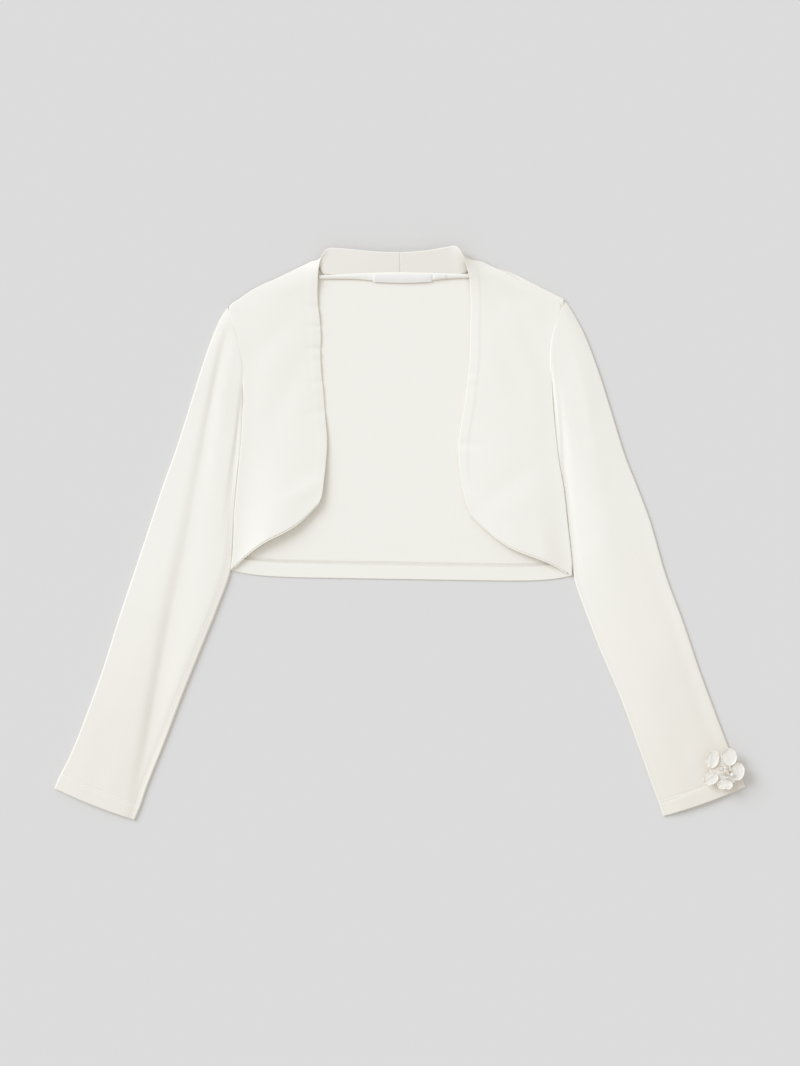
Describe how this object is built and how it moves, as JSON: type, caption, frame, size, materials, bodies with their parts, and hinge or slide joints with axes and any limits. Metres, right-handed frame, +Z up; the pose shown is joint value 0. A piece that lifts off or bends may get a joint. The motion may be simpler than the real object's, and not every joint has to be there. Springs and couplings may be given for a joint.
{
  "type": "bolero jacket",
  "caption": "Child's open, cropped bolero jacket in ivory jersey with a standing collar, long sleeves and a satin flower on one cuff, laid flat.",
  "frame": {"origin": "on the surface that the jacket lies on, below the middle of its box", "axes": "+Y up the body towards the collar, +X towards the wearer's left sleeve, +Z up out of the surface; the longest way is sleeve to sleeve along X"},
  "size_m": [0.6928, 0.574, 0.0175],
  "materials": {
    "ivory_jersey": "fine matt cotton jersey, ivory",
    "white_satin": "soft white satin with a low sheen"
  },
  "bodies": {
    "root": {"back": "ivory_jersey", "front_right": "ivory_jersey", "front_left": "ivory_jersey", "facing_right": "ivory_jersey", "facing_left": "ivory_jersey", "sleeve_right": "ivory_jersey", "sleeve_left": "ivory_jersey", "neck_tape": "ivory_jersey", "label": "white_satin", "size_tab": "white_satin", "flower_base": "white_satin", "flower_centre": "white_satin", "flower_petal_1": "white_satin", "flower_petal_2": "white_satin", "flower_petal_3": "white_satin", "flower_petal_4": "white_satin", "flower_petal_5": "white_satin"}
  },
  "joints": []
}
